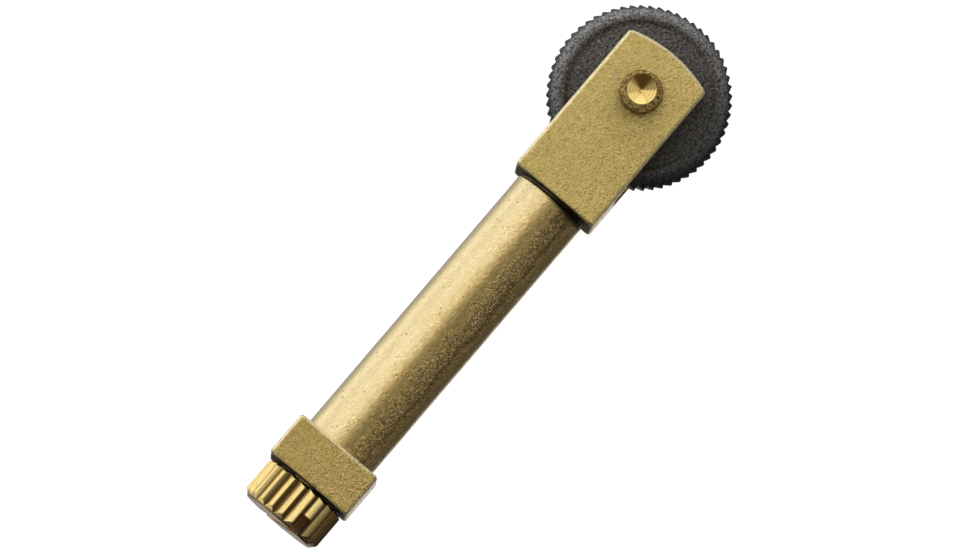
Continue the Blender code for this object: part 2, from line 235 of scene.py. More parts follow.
class Paint:
    """A node material under construction, with its pattern measured in millimetres."""

    def __init__(self, name):
        self.material = bpy.data.materials.new(name)
        self.material.use_nodes = True
        self.tree = self.material.node_tree
        self.shader = self.tree.nodes["Principled BSDF"]
        place = self.node("TexCoord")
        scaled = self.node("VectorMath", operation="SCALE")
        self.tree.links.new(place.outputs["Object"], scaled.inputs[0])
        scaled.inputs["Scale"].default_value = 1 / MM
        self.place = scaled.outputs[0]

    def node(self, kind, **settings):
        made = self.tree.nodes.new("ShaderNode" + kind)
        for key, value in settings.items():
            setattr(made, key, value)
        return made

    def put(self, value, socket):
        """Links the value to the socket if it is one itself, and else sets it there."""
        if isinstance(value, bpy.types.NodeSocket):
            self.tree.links.new(value, socket)
        elif socket.type == "RGBA" and len(value) == 3:
            socket.default_value = (*value, 1.0)
        else:
            socket.default_value = value

    def stretched(self, factors):
        """The place with each axis stretched by its factor, for streaks."""
        made = self.node("VectorMath", operation="MULTIPLY")
        self.put(self.place, made.inputs[0])
        self.put(factors, made.inputs[1])
        return made.outputs[0]

    def noise(self, scale, detail=3.0, roughness=0.55, distortion=0.0, place=None):
        made = self.node("TexNoise")
        self.put(place or self.place, made.inputs["Vector"])
        self.put(scale, made.inputs["Scale"])
        self.put(detail, made.inputs["Detail"])
        self.put(roughness, made.inputs["Roughness"])
        self.put(distortion, made.inputs["Distortion"])
        return made.outputs["Fac"]

    def relief(self, scale, shift):
        """How much a wrinkled noise falls along the shift, from about -0.2 to 0.2: the slope on which
        painted light and shade are laid.
        """
        moved = self.node("VectorMath", operation="ADD")
        self.put(self.place, moved.inputs[0])
        self.put(shift, moved.inputs[1])
        here = self.noise(scale, 3.0, 0.6, 0.8)
        there = self.noise(scale, 3.0, 0.6, 0.8, moved.outputs[0])
        return self.less(here, there)

    def dots(self, scale, inner, outer):
        """1 in the middle of scattered round dots, falling to 0 from inner to outer."""
        made = self.node("TexVoronoi")
        self.put(self.place, made.inputs["Vector"])
        self.put(scale, made.inputs["Scale"])
        return self.fit(made.outputs["Distance"], inner, outer, 1.0, 0.0)

    def math(self, operation, first, second=0.0, third=0.0):
        made = self.node("Math", operation=operation)
        self.put(first, made.inputs[0])
        self.put(second, made.inputs[1])
        self.put(third, made.inputs[2])
        return made.outputs[0]

    def times(self, first, second):
        return self.math("MULTIPLY", first, second)

    def less(self, first, second):
        return self.math("SUBTRACT", first, second)

    def fit(self, value, low, high, start=0.0, end=1.0):
        """The value's stretch from low to high, smoothly spread from start to end."""
        made = self.node("MapRange", interpolation_type="SMOOTHSTEP")
        self.put(value, made.inputs["Value"])
        self.put(low, made.inputs["From Min"])
        self.put(high, made.inputs["From Max"])
        self.put(start, made.inputs["To Min"])
        self.put(end, made.inputs["To Max"])
        return made.outputs["Result"]

    def length(self, first, second):
        """The length of the two sides' diagonal."""
        squares = self.math("ADD", self.math("POWER", first, 2.0), self.math("POWER", second, 2.0))
        return self.math("SQRT", squares)

    def facing(self):
        """The parts of the surface's own direction, in the object's axes."""
        made = self.node("TexCoord")
        return self.parts(made.outputs["Normal"])

    def mix(self, share, first, second):
        """The first color where share is 0 and the second where it is 1."""
        made = self.node("Mix", data_type="RGBA")
        self.put(share, made.inputs[0])
        self.put(first, made.inputs[6])
        self.put(second, made.inputs[7])
        return made.outputs[2]

    def over(self, color, share, amount, layer):
        """The color with the layer laid over it: the share, times the amount."""
        return self.mix(self.times(share, amount), color, layer)

    def parts(self, vector=None):
        """The vector's x, y and z, or the place's."""
        made = self.node("SeparateXYZ")
        self.put(vector or self.place, made.inputs[0])
        return made.outputs

    def finish(self, color, roughness, metallic=1.0, coat=0.0, coat_roughness=0.3):
        self.put(color, self.shader.inputs["Base Color"])
        self.put(roughness, self.shader.inputs["Roughness"])
        self.put(metallic, self.shader.inputs["Metallic"])
        self.put(coat, self.shader.inputs["Coat Weight"])
        self.put(coat_roughness, self.shader.inputs["Coat Roughness"])
        return self.material

    def bumps(self, *layers):
        """Relief from (height, depth in millimetres) layers, coarse ones first."""
        normal = None
        for height, depth in layers:
            made = self.node("Bump")
            self.put(depth * MM, made.inputs["Distance"])
            self.put(1.0, made.inputs["Strength"])
            self.put(height, made.inputs["Height"])
            if normal:
                self.put(normal, made.inputs["Normal"])
            normal = made.outputs["Normal"]
        self.put(normal, self.shader.inputs["Normal"])


BACK_EDGE_SHIFT = 0.12
DARK_HOLE = (0.08, 0.05, 0.012)
BROWN_CREASE = (0.26, 0.12, 0.015)
BROWN_SPECK = (0.24, 0.11, 0.015)
# painted shade and painted highlight laid on the wrinkles of flat brass
PAINTED_WRINKLE_SHADE = (0.36, 0.17, 0.03)
PAINTED_WRINKLE_HIGHLIGHT = (1.0, 0.83, 0.38)
PALE_SCUFF = (0.86, 0.80, 0.66)
RUBBED_EDGE_AND_HIGHLIGHT = (1.0, 0.88, 0.54)
PAINTED_SIDE_REFLECTION = (0.76, 0.66, 0.44)
PAINTED_GAP_SHADE = (0.04, 0.028, 0.012)


def flat_brass(name, back, nose_middle, nose_radius, light, dark, wrinkle_scale):
    """Matt brass, light and dark in its grain, with painted light and shade on wrinkles of
    wrinkle_scale, small pits, and rubbed edges that are brightened further by a painted highlight.
    Its side faces are paler with a painted reflection, and its back end is painted black as shade.
    The back end is at x = back, and the front is an arc of nose_radius about nose_middle."""
    paint = Paint(name)
    x, y, z = paint.parts()
    up = paint.less(z, AXIS_Z)
    side = paint.less(BLOCK_HALF, paint.math("ABSOLUTE", y))
    face = paint.less(BLOCK_HALF, paint.math("ABSOLUTE", up))
    ahead = paint.length(paint.less(x, nose_middle), y)
    front = paint.less(nose_radius, ahead)
    end = paint.math("MINIMUM", paint.less(x, back - BACK_EDGE_SHIFT), front)
    nearer = paint.math("MINIMUM", side, face)
    further = paint.math("MAXIMUM", side, face)
    edge = paint.math("MINIMUM", further, paint.math("MAXIMUM", nearer, end))
    grain = paint.noise(6.5, 4.0, 0.7, 1.2)
    wrinkle = paint.math("ABSOLUTE", paint.less(paint.noise(3.4, 2.5, 0.6, 1.8), 0.5))
    broken = paint.fit(paint.noise(2.4, 2.0), 0.46, 0.56)
    crease = paint.times(paint.fit(wrinkle, 0.026, 0.006), broken)
    broad = paint.noise(0.55, 3.0, 0.5)
    ragged = paint.math("MULTIPLY_ADD", grain, 0.12, edge)
    worn = paint.fit(ragged, 0.29, 0.19)
    spots = paint.dots(2.4, 0.05, 0.15)
    where = paint.fit(paint.noise(0.5, 2.0), 0.48, 0.6)
    holes = paint.times(spots, where)
    color = paint.mix(paint.fit(grain, 0.36, 0.62), dark, light)
    color = paint.mix(paint.fit(broad, 0.35, 0.65, 0.0, 0.25), color, dark)
    color = paint.over(color, crease, 0.7, BROWN_CREASE)
    # painted light and shade: where the wrinkles slope one way they are painted brown as shade, and
    # the other way bright as a highlight, more strongly towards -Y
    wrinkles = paint.relief(wrinkle_scale, (0.03, 0.07, 0.0))
    strength = paint.fit(y, 2.5, -1.5, 0.4, 0.85)
    shade = paint.times(paint.fit(wrinkles, 0.07, 0.17), strength)
    gleam = paint.times(paint.fit(wrinkles, -0.07, -0.18), strength)
    color = paint.mix(shade, color, PAINTED_WRINKLE_SHADE)
    color = paint.mix(gleam, color, PAINTED_WRINKLE_HIGHLIGHT)
    specks = paint.fit(paint.noise(7.0, 2.0, 0.5, 1.0), 0.35, 0.29)
    color = paint.over(color, specks, 0.7, BROWN_SPECK)
    from_axle = paint.length(paint.less(x, AXLE.x), y)
    around = paint.times(paint.fit(from_axle, BOSS_RADIUS, 1.7), paint.fit(from_axle, 2.9, 2.2))
    scuffs = paint.times(around, paint.fit(paint.noise(1.5, 5.0, 0.7, 0.6), 0.60, 0.66))
    color = paint.over(color, scuffs, 0.75, PALE_SCUFF)
    color = paint.over(color, holes, 0.85, DARK_HOLE)
    # rubbed edges: partly real wear and partly a painted highlight, which is weaker on the -Y edge
    # away from the light
    color = paint.over(color, worn, paint.fit(y, -2.9, -2.2, 0.5, 0.95), RUBBED_EDGE_AND_HIGHLIGHT)
    facing_x, facing_y, _ = paint.facing()
    # painted reflection: the side faces are paler, as if they mirrored the pale floor
    flank = paint.fit(paint.math("ABSOLUTE", facing_y), 0.9, 0.97)
    color = paint.over(color, flank, 0.45, PAINTED_SIDE_REFLECTION)
    # painted shade: the back end face, which faces a narrow gap, is painted near black, most of all
    # nearer the axis
    shaded_back_end = paint.fit(facing_x, -0.6, -0.85)
    from_axis = paint.length(y, up)
    color = paint.over(color, shaded_back_end, paint.fit(from_axis, 4.3, 3.3, 0.6, 0.97), PAINTED_GAP_SHADE)
    rough_share = paint.math("MULTIPLY_ADD", worn, -0.10, paint.fit(grain, 0.3, 0.7, 0.48, 0.32))
    rough_share = paint.math("MULTIPLY_ADD", flank, -0.2, rough_share)
    rough_share = paint.math("MULTIPLY_ADD", shaded_back_end, 0.3, rough_share)
    deepest = paint.math("MAXIMUM", holes, paint.times(crease, 0.4))
    hollow = paint.times(deepest, -1.0)
    paint.bumps((grain, 0.16), (hollow, 0.06))
    return paint.finish(color, rough_share, 1.0, 0.03, 0.35)


PALE_TUBE = (0.64, 0.52, 0.28), (0.71, 0.585, 0.33)
TARNISH_AND_SHADE = (0.46, 0.31, 0.10), (0.62, 0.44, 0.16)
TUBE_STREAK = (0.58, 0.44, 0.20)
TUBE_CRUST = (0.12, 0.065, 0.016)
TUBE_BARE = (0.85, 0.66, 0.32)
TUBE_LINE = (0.16, 0.09, 0.02)
PAINTED_TUBE_SHADE = (0.34, 0.21, 0.06)
PAINTED_TUBE_HIGHLIGHT = (1.0, 0.84, 0.46)
TUBE_HOLE = (0.14, 0.08, 0.02)
PAINTED_RECESS_SHADE = (0.02, 0.014, 0.006)


def tube_brass():
    """Satin turned brass: pale on the lit +Y side, and pitted and brown on the other, partly stain
    and partly painted shade.
    Its wrinkles carry painted light and shade, and the turned recess beside the yoke is painted black
    as shade."""
    paint = Paint("tube_brass_worn")
    x, y, _ = paint.parts()
    side = paint.math("DIVIDE", y, BARREL_RADIUS)
    grain = paint.noise(4.5, 4.0, 0.6, 0.4)
    streak = paint.noise(1.0, 4.0, 0.6, 0.0, paint.stretched((0.3, 5.0, 5.0)))
    wander = paint.math("MULTIPLY_ADD", paint.noise(0.5, 3.0), 0.4, -0.2)
    lateral = paint.math("ADD", side, wander)
    # towards -Y the tube turns brown: partly a real stain, partly painted shade on the side away from
    # the light
    stained_and_shaded = paint.fit(lateral, 0.5, -0.12)
    crust = paint.noise(6.5, 4.0, 0.75, 0.8)
    ragged = paint.math("MULTIPLY_ADD", paint.noise(2.6, 3.0, 0.6), 0.5, lateral)
    band = paint.times(paint.fit(ragged, 0.08, -0.16), paint.fit(ragged, -0.66, -0.44))
    color = paint.mix(paint.fit(grain, 0.3, 0.7), *PALE_TUBE)
    color = paint.mix(paint.fit(streak, 0.35, 0.7, 0.0, 0.3), color, TUBE_STREAK)
    tarnish_and_shade_color = paint.mix(paint.fit(grain, 0.35, 0.65), *TARNISH_AND_SHADE)
    color = paint.mix(stained_and_shaded, color, tarnish_and_shade_color)
    flakes = paint.times(band, paint.fit(crust, 0.54, 0.42))
    color = paint.over(color, flakes, 0.8, TUBE_CRUST)
    bare = paint.times(band, paint.fit(crust, 0.54, 0.62))
    color = paint.over(color, bare, 0.8, TUBE_BARE)
    line = paint.times(paint.fit(lateral, -0.62, -0.68), paint.fit(lateral, -0.78, -0.71))
    color = paint.over(color, line, 0.6, TUBE_LINE)
    # painted light and shade on the wrinkles, in patches, stronger towards -Y
    wrinkles = paint.relief(5.5, (0.03, 0.08, 0.0))
    patchy = paint.fit(paint.noise(0.9, 3.0), 0.42, 0.62, 0.2, 0.85)
    strength = paint.times(patchy, paint.fit(side, 0.75, -0.1, 0.4, 1.0))
    shade = paint.times(paint.fit(wrinkles, 0.06, 0.19), strength)
    gleam = paint.times(paint.fit(wrinkles, -0.06, -0.19), strength)
    color = paint.mix(shade, color, PAINTED_TUBE_SHADE)
    color = paint.mix(gleam, color, PAINTED_TUBE_HIGHLIGHT)
    spots = paint.dots(2.6, 0.06, 0.2)
    holes = paint.times(spots, paint.fit(paint.noise(0.7, 2.0), 0.46, 0.58))
    color = paint.over(color, holes, 0.7, TUBE_HOLE)
    # painted shade: the turned recess beside the yoke is painted near black, reaching further towards
    # -Y
    recess_shade_edge = paint.math("MULTIPLY_ADD", side, -0.22, paint.math("MULTIPLY_ADD", grain, 0.16, x))
    recess_shade = paint.fit(recess_shade_edge, YOKE_LOW.x - 0.42, YOKE_LOW.x - 0.16)
    color = paint.over(color, recess_shade, 0.93, PAINTED_RECESS_SHADE)
    crumbs = paint.times(paint.less(crust, 0.5), band)
    sand = paint.dots(4.4, 0.05, 0.16)
    sandy = paint.times(sand, paint.fit(paint.noise(1.1, 3.0), 0.5, 0.62))
    hollow = paint.times(holes, -1.0)
    waves = paint.noise(0.7, 2.0)
    paint.bumps((waves, 0.03), (grain, 0.010), (crumbs, 0.2), (sandy, 0.035), (hollow, 0.03))
    return paint.finish(color, paint.fit(grain, 0.3, 0.7, 0.34, 0.27), 1.0, 0.2, 0.3)


SCREW_BRASS = (0.70, 0.53, 0.20), (0.78, 0.61, 0.245)
SLOT_BROWN_PAINTED_LIGHT = (0.66, 0.38, 0.12), (1.0, 0.76, 0.38)
SCREW_STREAK = (0.55, 0.40, 0.14)
SCREW_SPOT = (0.18, 0.10, 0.03)
GROOVE_PATINA_AND_SHADE = (0.15, 0.08, 0.02)
PAINTED_FLANK_SHADE = (0.12, 0.065, 0.017)
PALE_END = (0.60, 0.50, 0.30)


def screw_brass(groove_radius):
    """Bright machined brass whose grooves are brown, partly patina and partly painted shade.
    Its flanks that face -Y are painted dark as shade, and its driver slot's floor is painted lighter
    to lift its shade.
    """
    paint = Paint("bright_brass_screw")
    _, y, z = paint.parts()
    up = paint.less(z, AXIS_Z)
    radius = paint.length(y, up)
    grain = paint.noise(7.0, 4.0, 0.6, 0.3)
    fine = paint.noise(18.0, 2.0)
    streak = paint.noise(1.0, 3.0, 0.6, 0.0, paint.stretched((0.5, 7.0, 7.0)))
    # brown in the grooves: partly patina, partly painted shade
    deep = paint.fit(radius, groove_radius + 0.08, groove_radius + 0.01)
    facing_x, facing_y, _ = paint.facing()
    # painted shade on the flanks that face -Y, away from the light
    shaded_flank = paint.fit(facing_y, -0.1, -0.5)
    spots = paint.dots(2.4, 0.05, 0.16)
    # painted light: the driver slot's floor is painted a lighter brown to lift its shade
    slot_floor = paint.fit(radius, groove_radius - 0.12, groove_radius - 0.2)
    color = paint.mix(paint.fit(grain, 0.3, 0.7), *SCREW_BRASS)
    color = paint.mix(paint.fit(streak, 0.45, 0.7, 0.0, 0.35), color, SCREW_STREAK)
    color = paint.over(color, spots, 0.7, SCREW_SPOT)
    color = paint.over(color, deep, 0.85, GROOVE_PATINA_AND_SHADE)
    slot_lit_brown = paint.mix(paint.fit(grain, 0.38, 0.62), *SLOT_BROWN_PAINTED_LIGHT)
    color = paint.mix(slot_floor, color, slot_lit_brown)
    color = paint.over(color, shaded_flank, 0.93, PAINTED_FLANK_SHADE)
    color = paint.mix(paint.fit(facing_x, -0.8, -0.95), color, PALE_END)
    paint.bumps((grain, 0.010), (fine, 0.004))
    return paint.finish(color, paint.fit(grain, 0.3, 0.7, 0.34, 0.24), 1.0, 0.15, 0.25)


BROWN_RING = (0.07, 0.04, 0.010), (0.43, 0.29, 0.10)
CONE_BRASS = (0.61, 0.44, 0.145), (0.67, 0.50, 0.18)
CONE_SHADE_TINT = (0.92, 0.51, 0.11)
LIT_SIDE = (0.76, 0.65)  # the way, in x and y, that the lit side faces; painted shade falls away from it
CONE_RIM_BLUR = 0.02
MARK_ANGLE_PER_MM = 30.0


def axle_brass(cone_middle, cone_radius):
    """The rivet: a brown, pitted ring around a bright drilled cone with turning marks."""
    paint = Paint("bright_brass_axle")
    x, y, _ = paint.parts()
    radius = paint.length(paint.less(x, cone_middle.x), paint.less(y, cone_middle.y))
    grain = paint.noise(6.0, 4.0, 0.65, 0.6)
    inside = paint.fit(radius, cone_radius + CONE_RIM_BLUR, cone_radius - CONE_RIM_BLUR)
    ring = paint.mix(paint.fit(grain, 0.35, 0.65), *BROWN_RING)
    turning = paint.math("SINE", paint.times(radius, MARK_ANGLE_PER_MM))
    cone = paint.mix(paint.fit(turning, -1.0, 1.0), *CONE_BRASS)
    facing_x, facing_y, _ = paint.facing()
    ahead = paint.times(facing_x, LIT_SIDE[0])
    lit_side = paint.math("MULTIPLY_ADD", facing_y, LIT_SIDE[1], ahead)
    # painted shade: the cone's side that faces away from LIT_SIDE is tinted a deeper orange
    cone = paint.mix(paint.fit(lit_side, -0.32, -0.4), cone, CONE_SHADE_TINT)
    color = paint.mix(inside, ring, cone)
    marks = paint.times(turning, inside)
    outside = paint.less(1.0, inside)
    lumps = paint.times(grain, outside)
    paint.bumps((lumps, 0.06), (marks, 0.0009))
    return paint.finish(color, paint.fit(inside, 0.0, 1.0, 0.45, 0.22), 1.0, 0.1, 0.3)


WEB_STEEL = (0.03, 0.028, 0.026), (0.155, 0.147, 0.138)
RIM_STEEL = (0.05, 0.049, 0.048), (0.30, 0.295, 0.29)
STEEL_RUST = (0.15, 0.095, 0.055)
STEEL_SPECK = (0.50, 0.48, 0.45)
PAINTED_WHEEL_SHADE = (0.02, 0.018, 0.016)
TOOTH_BLACK = (0.012, 0.012, 0.012)


def wheel_steel():
    """Dark blasted steel with light and rusty specks and a lighter rim. It is blackest on
    the teeth, and painted darker as shade on the side away from the light."""
    paint = Paint("wheel_steel_blasted")
    x, y, _ = paint.parts()
    radius = paint.length(paint.less(x, AXLE.x), y)
    grain = paint.noise(6.5, 4.0, 0.7, 0.3)
    coarse = paint.noise(1.3, 3.0, 0.6)
    specks = paint.dots(4.6, 0.08, 0.22)
    chosen = paint.times(specks, paint.fit(paint.noise(1.9, 2.0), 0.48, 0.58))
    rust = paint.times(paint.fit(coarse, 0.5, 0.66), paint.fit(grain, 0.42, 0.6))
    color = paint.mix(paint.fit(grain, 0.36, 0.64), *WEB_STEEL)
    color = paint.over(color, rust, 0.4, STEEL_RUST)
    color = paint.over(color, chosen, 0.75, STEEL_SPECK)
    rim = paint.fit(radius, CREST_RADIUS - 0.2, CREST_RADIUS + 0.55)
    lighter = paint.mix(paint.fit(grain, 0.36, 0.64), *RIM_STEEL)
    color = paint.over(color, rim, 0.8, lighter)
    # painted shade: the wheel is painted darker towards the side away from the light
    ahead = paint.times(paint.less(x, AXLE.x), LIT_SIDE[0])
    toward_light = paint.math("MULTIPLY_ADD", y, LIT_SIDE[1], ahead)
    color = paint.mix(paint.fit(toward_light, 4.0, -4.5, 0.0, 0.55), color, PAINTED_WHEEL_SHADE)
    toothed = paint.fit(radius, TOOTH_ROOT - 0.16, TOOTH_ROOT + 0.08)
    color = paint.over(color, toothed, 0.7, TOOTH_BLACK)
    paint.bumps((coarse, 0.02), (grain, 0.05))
    rough_share = paint.math("MULTIPLY_ADD", toothed, 0.12, paint.fit(grain, 0.3, 0.7, 0.52, 0.36))
    return paint.finish(color, rough_share, 0.92)


def wire_steel():
    paint = Paint("spring_steel_wire")
    grain = paint.noise(12.0, 3.0)
    color = paint.mix(grain, (0.36, 0.36, 0.37), (0.52, 0.52, 0.53))
    paint.bumps((grain, 0.004))
    return paint.finish(color, paint.fit(grain, 0.3, 0.7, 0.24, 0.34))


def plunger_brass():
    paint = Paint("bright_brass_plunger")
    rings = paint.noise(1.0, 3.0, 0.6, 0.0, paint.stretched((16.0, 1.2, 1.2)))
    color = paint.mix(paint.fit(rings, 0.35, 0.65), (0.56, 0.41, 0.16), (0.68, 0.52, 0.22))
    paint.bumps((rings, 0.006))
    return paint.finish(color, paint.fit(rings, 0.3, 0.7, 0.22, 0.32))


def flint_lacquer():
    """Ferrocerium rod under gold lacquer that is rubbed through in places."""
    paint = Paint("flint_lacquer_worn")
    grain = paint.noise(9.0, 4.0, 0.7)
    streak = paint.noise(1.0, 3.0, 0.6, 0.0, paint.stretched((1.0, 9.0, 9.0)))
    color = paint.mix(paint.fit(grain, 0.35, 0.65), (0.30, 0.17, 0.045), (0.52, 0.34, 0.12))
    color = paint.mix(paint.fit(streak, 0.45, 0.7, 0.0, 0.45), color, (0.60, 0.42, 0.17))
    paint.bumps((streak, 0.02), (grain, 0.02))
    return paint.finish(color, 0.48, 0.7)


# ---------------------------------------------------------------------- pieces

SPACING = 0.13
ROUND_STEPS = 64
CORNER_STEPS = 4
CAP_STEPS = 14
BEVEL_FLATNESS = 0.75
EDGE_BEVEL = 0.2
END_BEVEL = 0.14
MARGIN = 1.0


def bevel(steps):
    """Points (first, second) from (1, 0) to (0, 1) on a nearly straight bevel."""
    points = []
    for (x, y), step in zip(arc((0, 0), 1, 0, 90, steps), range(steps + 1)):
        share = step / steps
        points.append((x + (1 - share - x) * BEVEL_FLATNESS, y + (share - y) * BEVEL_FLATNESS))
    return points


def rounded_square(half, width):
    """A loop of (y, z) points about the axis: a square whose corners are bevelled to width."""
    inner = half - width
    loop = []
    for quarter in range(4):
        turn = Matrix.Rotation(math.pi / 2 * quarter, 2)
        points = [(inner + width * a, inner + width * b) for a, b in bevel(CORNER_STEPS)]
        points += along((inner, half), (-inner, half), SPACING)[:-1]
        loop += [tuple(turn @ Vector(point)) for point in points]
    return loop


def block_rows(back, front_at):
    """Rows for a square bar with bevelled edges, from its back end to a front end whose
    place front_at(y) may be curved. Both ends close in towards their middle."""
    ring = rounded_square(BLOCK_HALF, EDGE_BEVEL)
    rim = [(END_BEVEL * (1 - a), END_BEVEL * (1 - b)) for a, b in bevel(CORNER_STEPS)]
    flat_width = BLOCK_HALF - END_BEVEL
    flat = [(END_BEVEL + flat_width * i / CAP_STEPS, 0.0) for i in range(1, CAP_STEPS)]
    end_rows = list(reversed(rim + flat))

    def end_row(inset, depth, at_front):
        share = (BLOCK_HALF - inset) / BLOCK_HALF
        points = []
        for y, z in ring:
            x = front_at(y * share) - depth if at_front else back + depth
            points.append((x, y * share, AXIS_Z + z * share))
        return points

    rows = [end_row(inset, depth, False) for inset, depth in end_rows]
    count = round((front_at(0.0) - back - 2 * END_BEVEL) / SPACING)
    start = back + END_BEVEL
    for i in range(1, count):
        points = []
        for y, z in ring:
            x = start + (front_at(y) - END_BEVEL - start) * i / count
            points.append((x, y, AXIS_Z + z))
        rows.append(points)
    rows += [end_row(inset, depth, True) for inset, depth in reversed(end_rows)]
    return rows


def worn_block(point):
    """Height of a hand-dressed flat face: slow and finer waves, and scattered pits."""
    height = 0.010 * rough(point, 0.45, 2)
    height += 0.005 * rough(point, 2.1, 2)
    height -= 0.035 * pit(point, 1.1, 0.14)
    return height


def round_cutter(rows):
    return object_of("cutter", grid(rows))


def cutter_box(low, high):
    bm = bmesh.new()
    bmesh.ops.create_cube(bm, size=1.0)
    size = high - low
    bmesh.ops.scale(bm, vec=size, verts=bm.verts)
    bmesh.ops.translate(bm, vec=(low + high) / 2, verts=bm.verts)
    return object_of("cutter", bm)


SLOT_HALF = 1.85
SLOT_DEPTH = 6.4
NOSE_RADIUS = 9.5
SOCKET_RADIUS = 2.22
RIVET_HOLE_RADIUS = 1.02
RIVET_SINK_RADIUS = 1.42
RIVET_SINK_DEPTH = 0.4
YOKE_BRASS = (1.0, 0.77, 0.275), (0.80, 0.60, 0.19)


def build_yoke():
    centre_x = YOKE_HIGH.x - NOSE_RADIUS
    finish = flat_brass("flat_brass_yoke", YOKE_LOW.x, centre_x, NOSE_RADIUS, *YOKE_BRASS, 7.0)

    def front_at(y):
        return centre_x + math.sqrt(NOSE_RADIUS**2 - y * y)

    bm = grid(block_rows(YOKE_LOW.x, front_at))
    push(bm, worn_block)
    yoke = object_of("fork_yoke", bm, finish)
    slot = cutter_box(
        Vector((AXLE.x - SLOT_DEPTH, -BLOCK_HALF - MARGIN, AXIS_Z - SLOT_HALF)),
        Vector((YOKE_HIGH.x + MARGIN, BLOCK_HALF + MARGIN, AXIS_Z + SLOT_HALF)),
    )
    socket_end = AXLE.x - SLOT_DEPTH + MARGIN
    socket_profile = [(YOKE_LOW.x - MARGIN, SOCKET_RADIUS), (socket_end, SOCKET_RADIUS)]
    socket = round_cutter(turned_x(socket_profile, ROUND_STEPS))
    low = AXIS_Z - BLOCK_HALF
    high = AXIS_Z + BLOCK_HALF
    hole_profile = [(low - MARGIN, RIVET_SINK_RADIUS), (low, RIVET_SINK_RADIUS)]
    hole_profile += [(low + RIVET_SINK_DEPTH, RIVET_HOLE_RADIUS), (high + MARGIN, RIVET_HOLE_RADIUS)]
    hole = round_cutter(turned_z(hole_profile, ROUND_STEPS, AXLE))
    carve(yoke, [slot, socket, hole])
    return settle(yoke, "tool_body", ["yoke"])


FLAT_RADIUS = 1000.0  # of a nose so wide that it is flat
NICK_DEPTH = 0.16
NICK_WIDTH = 0.17
COLLAR_BRASS = (0.88, 0.65, 0.225), (0.60, 0.435, 0.13)


def build_collar():
    centre_x = COLLAR_HIGH.x - FLAT_RADIUS
    finish = flat_brass("flat_brass_collar", COLLAR_LOW.x, centre_x, FLAT_RADIUS, *COLLAR_BRASS, 3.8)
    bm = grid(block_rows(COLLAR_LOW.x, lambda y: COLLAR_HIGH.x))
    nick = Vector((COLLAR_LOW.x, -0.5, AXIS_Z + BLOCK_HALF))

    def dented(point):
        nearness = math.exp(-((point - nick).length / NICK_WIDTH) ** 2)
        return worn_block(point) - NICK_DEPTH * nearness

    push(bm, dented)
    collar = object_of("square_collar", bm, finish)
    profile = [(COLLAR_LOW.x - MARGIN, SOCKET_RADIUS), (COLLAR_HIGH.x + MARGIN, SOCKET_RADIUS)]
    carve(collar, [round_cutter(turned_x(profile, ROUND_STEPS))])
    return settle(collar, "tool_body", ["end_collar"])


SPIGOT_RADIUS = 2.2
FLINT_BORE = 1.3
TAPPED_RADIUS = 1.53
TAPPED_DEPTH = 5.4
SEAT_GAP = 0.02
RECESS_DEPTH = 0.12
RECESS_LENGTH = 0.14
BORE_CHAMFER = 0.12


def build_barrel(finish):
    """The tube, from the flint bore's mouth round its outside and back through its bore."""
    front = YOKE_LOW.x - SEAT_GAP
    back = COLLAR_HIGH.x + SEAT_GAP
    tapped_end = COLLAR_LOW.x + TAPPED_DEPTH
    recess = BARREL_RADIUS - RECESS_DEPTH
    full = front - RECESS_LENGTH - RECESS_DEPTH
    profile = [(BARREL_HIGH.x, FLINT_BORE + BORE_CHAMFER)]
    profile += [(BARREL_HIGH.x, SPIGOT_RADIUS), (front, SPIGOT_RADIUS), (front, recess)]
    profile += [(front - RECESS_LENGTH / 2, recess), (front - RECESS_LENGTH, recess)]
    profile += [(full, BARREL_RADIUS)]
    profile += along((full, BARREL_RADIUS), (back, BARREL_RADIUS), SPACING)
    profile += [(back, SPIGOT_RADIUS), (BARREL_LOW.x, SPIGOT_RADIUS)]
    profile += [(BARREL_LOW.x, TAPPED_RADIUS + BORE_CHAMFER)]
    profile += [(BARREL_LOW.x + BORE_CHAMFER, TAPPED_RADIUS)]
    profile += [(tapped_end, TAPPED_RADIUS), (tapped_end + 0.23, FLINT_BORE)]
    profile += [(BARREL_HIGH.x - BORE_CHAMFER, FLINT_BORE)]
    bm = grid(turned_x(profile, 2 * ROUND_STEPS), closed_rows=True)

    def height(point):
        radius = math.hypot(point.y, point.z - AXIS_Z)
        if radius < BARREL_RADIUS - 0.05 or not back + 0.1 < point.x < front - 0.5:
            return 0.0
        rough_side = min(1.0, max(0.0, -0.2 - point.y / BARREL_RADIUS) * 2.5)
        value = 0.006 * rough(point, 0.5, 2) + 0.002 * rough(point, 2.5, 2)
        value -= 0.03 * pit(point, 1.3, 0.16)
        value -= rough_side * 0.022 * abs(rough(point, 3.2, 3))
        return value

    push(bm, height)
    barrel = object_of("flint_tube", bm, finish)
    return settle(barrel, "tool_body", ["barrel"])


CONE_SHIFT = Vector((0.14, 0.08, 0.0))
BOSS_RADIUS = 1.45
CONE_RADIUS = 0.99
CONE_SLOPE = 0.62
CONE_STEPS = 16
RIVET_RADIUS = 1.0
RIVET_STEPS = 96


